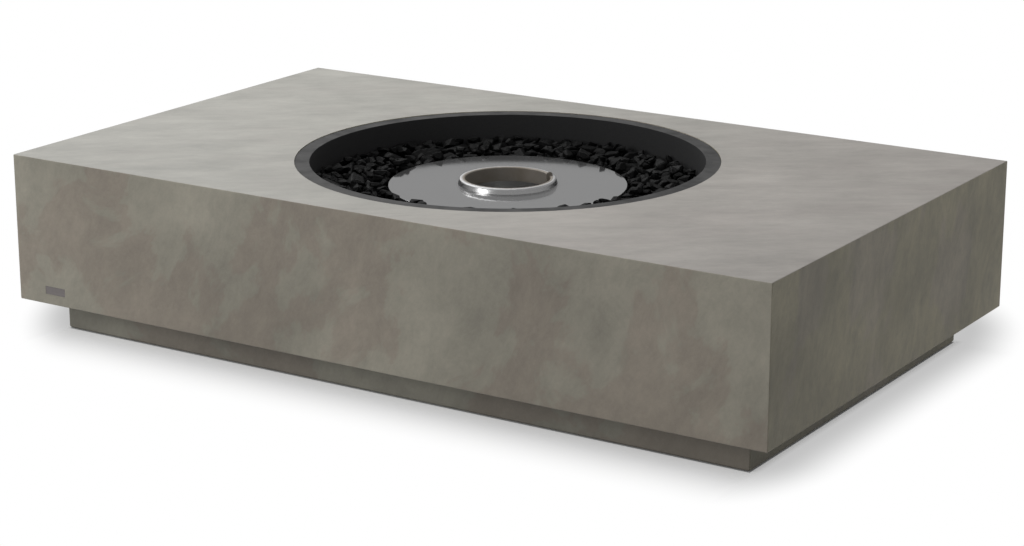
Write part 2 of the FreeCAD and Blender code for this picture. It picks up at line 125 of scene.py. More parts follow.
def cells(tree, where, scale):
    node = tree.nodes.new("ShaderNodeTexVoronoi")
    feed(tree, node.inputs["Vector"], where)
    feed(tree, node.inputs["Scale"], scale)
    return node.outputs["Distance"], node.outputs["Color"]


def ease(tree, value, low, high, bottom=0.0, top=1.0):
    node = tree.nodes.new("ShaderNodeMapRange")
    node.interpolation_type = "SMOOTHSTEP"
    for socket, given in zip(node.inputs, (value, low, high, bottom, top)):
        feed(tree, socket, given)
    return node.outputs[0]


def line(tree, value, base, rise):
    # base where the value is 0, and base plus rise where it is 1
    return calc(tree, "MULTIPLY_ADD", value, rise, base)


def around(tree, value, amount):
    # a factor near 1 that swings by amount with a 0 to 1 pattern
    return line(tree, value, 1 - amount, 2 * amount)


def fromAxis(tree, x, y):
    return calc(tree, "SQRT", calc(tree, "MULTIPLY_ADD", x, x, calc(tree, "MULTIPLY", y, y)))


def newGroup(name, takes, gives):
    group = bpy.data.node_groups.new(name, "ShaderNodeTree")
    for direction, wanted in (("INPUT", takes), ("OUTPUT", gives)):
        for label, kind in wanted.items():
            group.interface.new_socket(name=label, in_out=direction, socket_type="NodeSocket" + kind)
    start = group.nodes.new("NodeGroupInput")
    end = group.nodes.new("NodeGroupOutput")
    return group, start.outputs, end.inputs


def place(tree, group, values):
    node = tree.nodes.new("ShaderNodeGroup")
    node.node_tree = group
    for label, value in values.items():
        feed(tree, node.inputs[label], value)
    return node.outputs


def turnFlat(tree, vector, angle):
    # turned about the upright axis
    node = tree.nodes.new("ShaderNodeVectorRotate")
    node.rotation_type = "Z_AXIS"
    feed(tree, node.inputs["Vector"], vector)
    feed(tree, node.inputs["Angle"], angle)
    return node.outputs[0]


# shared effects, each a group that puts out coordinates, masks and heights only

def makeFaceLay():
    # flat coordinates on whichever side of a cast block the point lies, and which side that is;
    # the third coordinate keeps the sides apart in the noise
    tree, given, out = newGroup(
        "faceLay",
        {"Position": "Vector", "Normal": "Vector"},
        {"Flat": "Vector", "Top": "Float", "End": "Float"},
    )
    x, y, z = parted(tree, given["Position"])
    across, depth, upward = parted(tree, vectorCalc(tree, "ABSOLUTE", given["Normal"]))
    isTop = calc(tree, "GREATER_THAN", upward, 0.7)
    isEnd = calc(tree, "GREATER_THAN", across, 0.7)
    sides = blendVector(tree, isEnd, joined(tree, x, z, 1.7), joined(tree, y, z, 3.9))
    feed(tree, out["Flat"], blendVector(tree, isTop, sides, joined(tree, x, y, 0.3)))
    feed(tree, out["Top"], isTop)
    feed(tree, out["End"], isEnd)
    return tree


def makeTrowel():
    # what the trowel leaves, all drawn out along its slant: broad clouds and an uneven body
    tree, given, out = newGroup(
        "trowel",
        {"Flat": "Vector", "Slant": "Float", "Length": "Float", "Cloud size": "Float", "Body size": "Float"},
        {"Lay": "Vector", "Clouds": "Float", "Body": "Float", "Strokes": "Float"},
    )
    lay = turnFlat(tree, given["Flat"], calc(tree, "MULTIPLY", given["Slant"], -1.0))
    drawn = vectorCalc(tree, "MULTIPLY", lay, joined(tree, given["Length"], 1.0, 1.0))
    cloudScale = calc(tree, "DIVIDE", 1.0, given["Cloud size"])
    bodyScale = calc(tree, "DIVIDE", 1.0, given["Body size"])
    feed(tree, out["Lay"], lay)
    feed(tree, out["Clouds"], noise(tree, drawn, cloudScale, 6.0, 0.62, 0.4))
    feed(tree, out["Body"], noise(tree, drawn, bodyScale, 7.0, 0.80, 0.2))
    fine = vectorCalc(tree, "MULTIPLY", lay, (0.09, 1.0, 1.0))
    feed(tree, out["Strokes"], noise(tree, fine, 170.0, 4.0, 0.7))
    return tree


def makePinholes():
    # scattered small round holes: most cells stay empty
    tree, given, out = newGroup(
        "pinholes",
        {"Position": "Vector", "Spacing": "Float", "Share": "Float", "Radius": "Float"},
        {"Holes": "Float"},
    )
    scale = calc(tree, "DIVIDE", 1.0, given["Spacing"])
    distance, colour = cells(tree, given["Position"], scale)
    picked, size = parted(tree, colour)[:2]
    present = calc(tree, "LESS_THAN", picked, given["Share"])
    reach = calc(tree, "MULTIPLY", calc(tree, "MULTIPLY", given["Radius"], scale), around(tree, size, 0.45))
    hole = ease(tree, distance, reach, calc(tree, "MULTIPLY", reach, 0.45))
    feed(tree, out["Holes"], calc(tree, "MULTIPLY", hole, present))
    return tree


def makeArris():
    # distance to the nearest straight edge of a box, roughened, as a worn-edge mask
    tree, given, out = newGroup(
        "arris",
        {"Position": "Vector", "Middle": "Vector", "Half size": "Vector", "Width": "Float"},
        {"Wear": "Float"},
    )
    offset = vectorCalc(tree, "SUBTRACT", given["Position"], given["Middle"])
    inward = vectorCalc(tree, "SUBTRACT", given["Half size"], vectorCalc(tree, "ABSOLUTE", offset))
    a, b, c = parted(tree, inward)
    nearer = calc(tree, "MINIMUM", a, b)
    farther = calc(tree, "MAXIMUM", a, b)
    second = calc(tree, "MAXIMUM", nearer, calc(tree, "MINIMUM", farther, c))
    ragged = noise(tree, given["Position"], 45.0, 4.0, 0.65)
    width = calc(tree, "MULTIPLY", given["Width"], line(tree, ragged, -0.5, 2.4))
    feed(tree, out["Wear"], ease(tree, second, width, 0.0))
    return tree


def makeSpeckle():
    # a fine even grain, as powder coat, rubber or stone has
    tree, given, out = newGroup(
        "speckle",
        {"Position": "Vector", "Size": "Float"},
        {"Grain": "Float", "Patches": "Float"},
    )
    scale = calc(tree, "DIVIDE", 1.0, given["Size"])
    feed(tree, out["Grain"], noise(tree, given["Position"], scale, 2.0, 0.7))
    feed(tree, out["Patches"], noise(tree, given["Position"], calc(tree, "MULTIPLY", scale, 0.03), 4.0, 0.6))
    return tree


def makeTurned():
    # marks that run round the upright middle axis, as on a spun or turned disc
    tree, given, out = newGroup(
        "turned",
        {"Position": "Vector", "Pitch": "Float"},
        {"Rings": "Float", "Smudges": "Float"},
    )
    x, y, z = parted(tree, given["Position"])
    bearing = calc(tree, "ARCTAN2", y, x)
    scale = calc(tree, "DIVIDE", 1.0, given["Pitch"])
    outward = calc(tree, "MULTIPLY", fromAxis(tree, x, y), scale)
    path = joined(tree, outward, calc(tree, "MULTIPLY", z, scale), bearing)
    feed(tree, out["Rings"], noise(tree, path, 1.0, 3.0, 0.65))
    feed(tree, out["Smudges"], noise(tree, given["Position"], 16.0, 5.0, 0.6, 0.8))
    return tree


def makeRolled():
    # long straight mill lines, with duller patches
    tree, given, out = newGroup(
        "rolled",
        {"Position": "Vector", "Turn": "Float"},
        {"Lines": "Float", "Patches": "Float"},
    )
    lay = turnFlat(tree, given["Position"], given["Turn"])
    drawn = vectorCalc(tree, "MULTIPLY", lay, (0.015, 1.0, 1.0))
    feed(tree, out["Lines"], noise(tree, drawn, 900.0, 3.0, 0.6))
    feed(tree, out["Patches"], noise(tree, given["Position"], 22.0, 5.0, 0.62, 0.4))
    return tree


faceLay = makeFaceLay()
trowel = makeTrowel()
pinholes = makePinholes()
arris = makeArris()
speckle = makeSpeckle()
turned = makeTurned()
rolled = makeRolled()
print("shared effects made")


# materials: each has its look in a dictionary, with roughness as its least value and its swing

def newFinish(name, look):
    finish = bpy.data.materials.new(name)
    finish.use_nodes = True
    tree = finish.node_tree
    shader = tree.nodes["Principled BSDF"]
    shader.inputs["Metallic"].default_value = look.get("metallic", 0.0)
    shader.inputs["Specular IOR Level"].default_value = look.get("specular", 0.5)
    where = tree.nodes.new("ShaderNodeTexCoord")
    return finish, tree, shader, where.outputs["Object"], where.outputs["Normal"]


def roughen(tree, shader, height, depth, strength=1.0):
    node = tree.nodes.new("ShaderNodeBump")
    node.inputs["Distance"].default_value = depth
    node.inputs["Strength"].default_value = strength
    feed(tree, node.inputs["Height"], height)
    feed(tree, shader.inputs["Normal"], node.outputs[0])


concrete = {
    "greenTone": (0.400, 0.376, 0.310),
    "warmTone": (0.362, 0.319, 0.264),
    "endTone": (0.368, 0.341, 0.256),  # the two ends are browner, and a little darker as painted shade
    "endStreakTone": (0.352, 0.322, 0.262),
    "topSheenTone": (0.442, 0.436, 0.405),  # the top is paler and greyer: a painted sheen
    "topWarmSheenTone": (0.471, 0.443, 0.418),
    "topSheenShare": 0.84,  # and hides this much of the two tones of the sides
    "toneEdge": (0.615, 0.668),  # the clouds' level at which one tone gives way to the other
    "bodyInEdge": 0.20,
    "topDrift": (-0.20, 0.45),  # the top turns warmer from one end to the other between these
    "driftMiddle": 0.25,
    "driftWander": 0.5,
    "plinthTint": (0.722, 0.732, 0.738),
    "slant": (62, 74, 36),  # degrees, of the marks on the long sides, the ends and the top
    "length": (0.72, 0.54, 0.38),  # how far the marks are drawn out: less is longer
    "light": (0.52, 1.05, 0.44),  # how far the body swings the tone
    "broad": (0.34, 0.62, 0.16),  # and how far the broadest clouds do
    "broadScale": 5.0,
    "paintedEndShade": (0.38, -0.38, -0.19),  # painted shade: the ends darken toward the front: from, to and by how much
    "paintedEndShadeMiddle": 0.3,
    "cloudSize": 0.15,
    "bodySize": 0.060,
    "strokes": 0.04,
    "gritSize": 0.0016,
    "grit": 0.025,
    "holes": {"Spacing": 0.026, "Share": 0.12, "Radius": 0.0009},
    "holeShade": -0.28,
    "holeDepth": -3.0,  # against the grit's height
    "strokeDepth": 0.5,
    "relief": 0.00022,
    "reliefStrength": 0.8,
    "wearWidth": 0.0020,
    "wearLight": 0.08,
    "roughness": (0.48, 0.30),
}


def castFinish(name, tint, node):
    # cast concrete in two soft tones, drawn out along the trowel strokes
    finish, tree, shader, position, normal = newFinish(name, concrete)
    face = place(tree, faceLay, {"Position": position, "Normal": normal})

    def perFace(values):
        # one value for the long sides, one for the ends and one for the top
        side, end, top = values
        value = line(tree, face["End"], side, end - side)
        return line(tree, face["Top"], value, top - side)

    marks = place(tree, trowel, {
        "Flat": face["Flat"],
        "Slant": perFace([math.radians(angle) for angle in concrete["slant"]]),
        "Length": perFace(concrete["length"]),
        "Cloud size": concrete["cloudSize"],
        "Body size": concrete["bodySize"],
    })
    first = blend(tree, face["End"], concrete["greenTone"], concrete["endTone"])
    second = blend(tree, face["End"], concrete["warmTone"], concrete["endStreakTone"])
    cloudy = line(tree, marks["Body"], marks["Clouds"], concrete["bodyInEdge"])
    twoTones = blend(tree, ease(tree, cloudy, *concrete["toneEdge"]), first, second)

    broad = noise(tree, marks["Lay"], concrete["broadScale"], 2.0, 0.5)
    across, depth = parted(tree, position)[:2]
    offset = calc(tree, "SUBTRACT", across, concrete["driftMiddle"])
    drift = ease(tree, line(tree, broad, offset, concrete["driftWander"]), *concrete["topDrift"])
    # painted sheen: the top takes a paler, greyer colour in place of the sheen it catches
    topSheenColour = blend(tree, drift, concrete["topSheenTone"], concrete["topWarmSheenTone"])
    topSheenShare = calc(tree, "MULTIPLY", face["Top"], concrete["topSheenShare"])
    colour = blend(tree, topSheenShare, twoTones, topSheenColour)

    # painted shade on the two ends, darker toward the front
    far, near, loss = concrete["paintedEndShade"]
    paintedEndShade = calc(tree, "SUBTRACT", ease(tree, depth, far, near), concrete["paintedEndShadeMiddle"])
    paintedEndShade = calc(tree, "MULTIPLY", paintedEndShade, face["End"])
    grit = place(tree, speckle, {"Position": position, "Size": concrete["gritSize"]})
    holes = place(tree, pinholes, {"Position": position, **concrete["holes"]})
    low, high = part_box(node)
    worn = place(tree, arris, {
        "Position": position,
        "Middle": (low + high) / 2,
        "Half size": (high - low) / 2,
        "Width": concrete["wearWidth"],
    })
    light = line(tree, line(tree, marks["Body"], -1.0, 2.0), 1.0, perFace(concrete["light"]))
    for factor in (
        line(tree, line(tree, broad, -1.0, 2.0), 1.0, perFace(concrete["broad"])),
        line(tree, paintedEndShade, 1.0, loss),
        around(tree, marks["Strokes"], concrete["strokes"]),
        around(tree, grit["Grain"], concrete["grit"]),
        line(tree, holes["Holes"], 1.0, concrete["holeShade"]),
        line(tree, worn["Wear"], 1.0, concrete["wearLight"]),
    ):
        light = calc(tree, "MULTIPLY", light, factor)
    colour = lighten(tree, colour, light)
    feed(tree, shader.inputs["Base Color"], blend(tree, 1.0, colour, tint, "MULTIPLY"))
    feed(tree, shader.inputs["Roughness"], line(tree, marks["Body"], *concrete["roughness"]))
    height = line(tree, marks["Strokes"], grit["Grain"], concrete["strokeDepth"])
    height = line(tree, holes["Holes"], height, concrete["holeDepth"])
    roughen(tree, shader, height, concrete["relief"], concrete["reliefStrength"])
    return finish


powderCoat = {
    "specular": 0.3,
    "blacks": ((0.0225, 0.0225, 0.023), (0.034, 0.034, 0.035)),
    "blackEdge": (0.3, 0.7),  # the grain's levels for the two
    "dustAndPaintedLight": (0.090, 0.089, 0.088),
    "dustAndLightSlope": (0.75, 1.0),  # it lies on faces that look up: settled dust, and painted light from above
    "dustAndLightPatches": (0.20, 0.70),
    "grainSize": 0.0014,
    "roughness": (0.66, 0.16),
    "relief": 0.00012,
}


def powderFinish(name, look):
    # fine matt black powder coat with its orange-peel grain, and a little settled dust that also paints the
    # faces that look up lighter, as light from above would
    finish, tree, shader, position, normal = newFinish(name, look)
    grain = place(tree, speckle, {"Position": position, "Size": look["grainSize"]})
    facing = ease(tree, parted(tree, normal)[2], *look["dustAndLightSlope"])
    # dust and painted light: faces that look up are made lighter
    dustAndPaintedLight = calc(tree, "MULTIPLY", facing, ease(tree, grain["Patches"], *look["dustAndLightPatches"]))
    black = blend(tree, ease(tree, grain["Grain"], *look["blackEdge"]), *look["blacks"])
    feed(tree, shader.inputs["Base Color"], blend(tree, dustAndPaintedLight, black, look["dustAndPaintedLight"]))
    feed(tree, shader.inputs["Roughness"], line(tree, grain["Grain"], *look["roughness"]))
    roughen(tree, shader, grain["Grain"], look["relief"])
    return finish


burnerPlate = {
    "metallic": 0.88,
    "tones": ((0.485, 0.487, 0.490), (0.530, 0.530, 0.530)),
    "grainSize": 0.0012,
    "grain": 0.03,
    "pitch": 0.0010,
    "roughness": (0.06, 0.07),
    "relief": 0.000003,
}


def plateFinish(name, look):
    # the burner's plate: steel polished to a soft mirror, with a faint haze of smudges
    finish, tree, shader, position, normal = newFinish(name, look)
    marks = place(tree, turned, {"Position": position, "Pitch": look["pitch"]})
    grain = place(tree, speckle, {"Position": position, "Size": look["grainSize"]})
    steel = blend(tree, marks["Smudges"], *look["tones"])
    steel = lighten(tree, steel, around(tree, grain["Grain"], look["grain"]))
    feed(tree, shader.inputs["Base Color"], steel)
    feed(tree, shader.inputs["Roughness"], line(tree, marks["Smudges"], *look["roughness"]))
    roughen(tree, shader, marks["Rings"], look["relief"])
    return finish


mouthRing = {
    "metallic": 1.0,
    "tones": ((0.53, 0.53, 0.535), (0.62, 0.615, 0.61)),
    "heatBrownAndShade": (0.27, 0.235, 0.19),
    "heatBrownAndShadeReach": (0.0055, 0.0085),  # how far in from the ring's outer edge, from and to
    "heatBrownAndShadeShare": (0.5, 0.6),  # in the clean places, and how much more in the smudges
    "crownReach": (0.0018, 0.0042),
    "roughness": (0.18, 0.42),  # at the outer edge, and how much more on the crown
    "smudges": 0.12,
    "rings": 0.06,
    "pitch": 0.0008,
    "relief": 0.000012,
}


def ringFinish(name, look):
    # satin turned stainless, browned by heat where the flame licks the mouth, and darkened there further as
    # painted shade that dims the lamps' reflection on the crown
    finish, tree, shader, position, normal = newFinish(name, look)
    marks = place(tree, turned, {"Position": position, "Pitch": look["pitch"]})
    radius = fromAxis(tree, *parted(tree, position)[:2])
    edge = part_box("burner_ring")[1].x
    crown = ease(tree, radius, *[edge - reach for reach in look["crownReach"]])
    # heat browning, and painted shade near the mouth
    hot = ease(tree, radius, *[edge - reach for reach in look["heatBrownAndShadeReach"]])
    hot = calc(tree, "MULTIPLY", hot, line(tree, marks["Smudges"], *look["heatBrownAndShadeShare"]))
    steel = blend(tree, marks["Smudges"], *look["tones"])
    feed(tree, shader.inputs["Base Color"], blend(tree, hot, steel, look["heatBrownAndShade"]))
    dull = line(tree, marks["Smudges"], line(tree, crown, *look["roughness"]), look["smudges"])
    feed(tree, shader.inputs["Roughness"], line(tree, marks["Rings"], dull, look["rings"]))
    roughen(tree, shader, marks["Rings"], look["relief"])
    return finish


galvanised = {
    "metallic": 0.9,
    "flowers": ((0.36, 0.37, 0.385), (0.52, 0.53, 0.54)),
    "flowersPerMetre": 85.0,
    "dull": (0.42, 0.42, 0.41),
    "dullPatches": (0.5, 0.8),
    "roughness": (0.34, 0.18),
    "relief": 0.0002,
    "reliefStrength": 0.5,
}


def galvanisedFinish(name, look):
    # hot-dip zinc with its crystal flowers
    finish, tree, shader, position, normal = newFinish(name, look)
    flower = parted(tree, cells(tree, position, look["flowersPerMetre"])[1])[0]
    marks = place(tree, rolled, {"Position": position, "Turn": 0.0})
    zinc = blend(tree, flower, *look["flowers"])
    zinc = blend(tree, ease(tree, marks["Patches"], *look["dullPatches"]), zinc, look["dull"])
    feed(tree, shader.inputs["Base Color"], zinc)
    feed(tree, shader.inputs["Roughness"], line(tree, flower, *look["roughness"]))
    roughen(tree, shader, marks["Patches"], look["relief"], look["reliefStrength"])
    return finish


brokenStone = {
    "specular": 0.10,
    "blacks": ((0.0015, 0.0015, 0.0016), (0.0058, 0.0058, 0.0060)),
    "flake": (0.0095, 0.0095, 0.0097),
    "flakeEdge": (0.52, 0.80),
    "flakeScale": 130.0,
    "grainSize": 0.0024,
    "roughness": (0.54, -0.18),  # of the blackest stones, and how much more of the palest
    "grain": 0.14,
    "glassyTones": (0.90, 0.95),  # stones with a tone above these break glassy
    "glassy": 0.24,
    "grainDepth": 0.35,
    "relief": 0.0022,
    "reliefStrength": 0.75,
}


def stoneFinish(name, look):
    # broken black stones, each with its own tone
    finish, tree, shader, position, normal = newFinish(name, look)
    own = tree.nodes.new("ShaderNodeAttribute")
    own.attribute_name = "stoneTone"
    tone = own.outputs["Fac"]
    grain = place(tree, speckle, {"Position": position, "Size": look["grainSize"]})
    flaky = noise(tree, position, look["flakeScale"], 5.0, 0.66, 0.4)
    black = blend(tree, tone, *look["blacks"])
    black = blend(tree, ease(tree, flaky, *look["flakeEdge"]), black, look["flake"])
    feed(tree, shader.inputs["Base Color"], black)
    dull = line(tree, grain["Grain"], line(tree, tone, *look["roughness"]), look["grain"])
    glassy = ease(tree, tone, *look["glassyTones"], 0.0, look["glassy"])
    feed(tree, shader.inputs["Roughness"], calc(tree, "SUBTRACT", dull, glassy))
    height = line(tree, grain["Grain"], flaky, look["grainDepth"])
    roughen(tree, shader, height, look["relief"], look["reliefStrength"])
    return finish


plainLooks = {  # masks: what sways the tone, the roughness and the relief
    "tankSteel": {
        "metallic": 1.0,
        "effect": turned,
        "values": {"Pitch": 0.0016},
        "masks": ("Rings", "Smudges", "Rings"),
        "tones": ((0.44, 0.44, 0.44), (0.56, 0.56, 0.555)),
        "roughness": (0.22, 0.20),
        "relief": 0.00002,
    },
    "zincPlated": {
        "metallic": 1.0,
        "effect": speckle,
        "values": {"Size": 0.0012},
        "masks": ("Patches", "Grain", "Grain"),
        "tones": ((0.56, 0.57, 0.60), (0.64, 0.63, 0.57)),
        "roughness": (0.22, 0.16),
        "relief": 0.00003,
    },
    "turnedBrass": {
        "metallic": 1.0,
        "effect": speckle,
        "values": {"Size": 0.0009},
        "masks": ("Patches", "Grain", "Grain"),
        "tones": ((0.52, 0.38, 0.16), (0.66, 0.51, 0.24)),
        "roughness": (0.24, 0.22),
        "relief": 0.00003,
    },
    "millAluminium": {
        "metallic": 1.0,
        "effect": rolled,
        "values": {"Turn": 0.4},
        "masks": ("Lines", "Patches", "Lines"),
        "tones": ((0.60, 0.605, 0.61), (0.74, 0.74, 0.745)),
        "roughness": (0.24, 0.22),
        "relief": 0.00002,
    },
    "mouldedRubber": {
        "specular": 0.35,
        "effect": speckle,
        "values": {"Size": 0.0011},
        "masks": ("Patches", "Grain", "Grain"),
        "tones": ((0.040, 0.040, 0.040), (0.070, 0.070, 0.071)),
        "roughness": (0.64, 0.20),
        "relief": 0.00008,
    },
    "badgeSatin": {
        "metallic": 1.0,
        "effect": rolled,
        "values": {"Turn": 0.0},
        "masks": ("Lines", "Patches", "Lines"),
        "tones": ((0.137, 0.126, 0.124), (0.193, 0.178, 0.176)),
        "roughness": (0.34, 0.16),
        "relief": 0.00002,
    },
}


def plainFinish(name):
    # one shared effect sways the tone, the roughness and the relief
    look = plainLooks[name]
    finish, tree, shader, position, normal = newFinish(name, look)
    marks = place(tree, look["effect"], {"Position": position, **look["values"]})
    toneMask, dullMask, reliefMask = look["masks"]
    feed(tree, shader.inputs["Base Color"], blend(tree, marks[toneMask], *look["tones"]))
    feed(tree, shader.inputs["Roughness"], line(tree, marks[dullMask], *look["roughness"]))
    roughen(tree, shader, marks[reliefMask], look["relief"])
    return finish


finishes = {
    "cast_concrete": castFinish("castConcrete", (1.0, 1.0, 1.0), "table_shell"),
    "plinth_concrete": castFinish("plinthConcrete", concrete["plinthTint"], "plinth"),
    "black_pan_steel": powderFinish("powderCoat", powderCoat),
    "burner_stainless": plateFinish("burnerPlate", burnerPlate),
    "ring_stainless": ringFinish("mouthRing", mouthRing),
    "tank_stainless": plainFinish("tankSteel"),
    "frame_steel": galvanisedFinish("galvanised", galvanised),
    "fastener_steel": plainFinish("zincPlated"),
    "insert_brass": plainFinish("turnedBrass"),
    "shield_aluminium": plainFinish("millAluminium"),
    "black_rubber": plainFinish("mouldedRubber"),
    "badge_metal": plainFinish("badgeSatin"),
    "black_stones": stoneFinish("brokenStone", brokenStone),
}
for subpart in frame["record"]["subparts"]:
    for materialSlot in nodes[subpart["node"]].material_slots:
        materialSlot.material = finishes[subpart["material_slot"]]
print("finishes given to the frame's nodes")


# the loose stones, dropped one by one into the pan round the burner

stoneFill = {
    "seed": 2474,
    "burnerGap": 0.0009,  # the burner lifts out past the stones
    "flangeWidth": 0.0220,  # from the pan's rim in to its upright wall
    "wallGap": 0.0006,
    "wallBend": 0.0050,
    "cell": 0.0020,
    "length": (0.026, 0.046),
    "width": (0.46, 0.80),  # shares of the length
    "thickness": (0.34, 0.62),
    "shards": 0.05,  # the share of thin shards
    "shardWidth": (0.28, 0.40),
    "shardThickness": 0.20,
    "shardTone": 0.97,
    "tones": (0.0, 0.88),
    "cuts": (6, 9),
    "cutWander": 0.35,
    "cutDepth": (0.80, 1.06),  # against the lump that fills the block
    "bevel": 0.035,  # a share of the length
    "lean": 0.42,
    "settle": 0.0020,
    "tries": 80,
    "misses": 150,
    "chipsAfter": 0.4,  # this share of the misses, the stones get smaller
    "chipSize": 0.5,
    "levels": (-0.0055, -0.0030, 0.0008),  # the heap's surface by ring, from the top of the frame's stones
    "toppers": 34,  # small stones set on the heap beside the plate
    "topperLength": (0.015, 0.024),
    "topperReach": 0.024,
    "topperTones": (0.0, 0.7),
}


def breakStone(size, cuts, rng):
    # a block with planes struck off it, and the same planes as (normal, distance)
    stone = bmesh.new()
    bmesh.ops.create_cube(stone, size=1.0)
    bmesh.ops.scale(stone, vec=size, verts=stone.verts)
    half = Vector(size) / 2
    sides = [Vector(way) for way in ((1, 0, 0), (-1, 0, 0), (0, 1, 0), (0, -1, 0), (0, 0, 1), (0, 0, -1))]
    planes = [(side, abs(half.dot(side))) for side in sides]
    turn = rng.uniform(0, math.tau)
    wander = stoneFill["cutWander"]
    for number in range(cuts):
        height = 1 - 2 * (number + 0.5) / cuts
        bearing = turn + number * math.pi * (3 - math.sqrt(5))
        flat = math.sqrt(1 - height * height)
        struck = Vector((flat * math.cos(bearing), flat * math.sin(bearing), height))
        struck += Vector([rng.uniform(-wander, wander) for axis in range(3)])
        normal = Vector((struck.x / size[0], struck.y / size[1], struck.z / size[2])).normalized()
        lump = Vector((half.x * normal.x, half.y * normal.y, half.z * normal.z)).length
        reach = lump * rng.uniform(*stoneFill["cutDepth"])
        cut = bmesh.ops.bisect_plane(
            stone, geom=stone.verts[:] + stone.edges[:] + stone.faces[:], dist=1e-6,
            plane_co=normal * reach, plane_no=normal, clear_outer=True)
        rim = [part for part in cut["geom_cut"] if isinstance(part, bmesh.types.BMEdge)]
        if len(rim) > 2:
            bmesh.ops.edgeloop_fill(stone, edges=rim)
            planes.append((normal, reach))
    return stone, planes


def lieOf(planes, span, cell):
    # heights of the stone's underside and top over a square of cells round its middle
    steps = int(math.ceil(span / cell))
    offsets = np.arange(-steps, steps + 1) * cell
    x, y = np.meshgrid(offsets, offsets, indexing="ij")
    under = np.full(x.shape, -1.0)
    over = np.full(x.shape, 1.0)
    covered = np.ones(x.shape, bool)
    for normal, reach in planes:
        rest = reach - normal.x * x - normal.y * y
        if normal.z > 1e-4:
            over = np.minimum(over, rest / normal.z)
        elif normal.z < -1e-4:
            under = np.maximum(under, rest / normal.z)
        else:
            covered &= rest >= 0
    return steps, under, over, covered & (over > under)


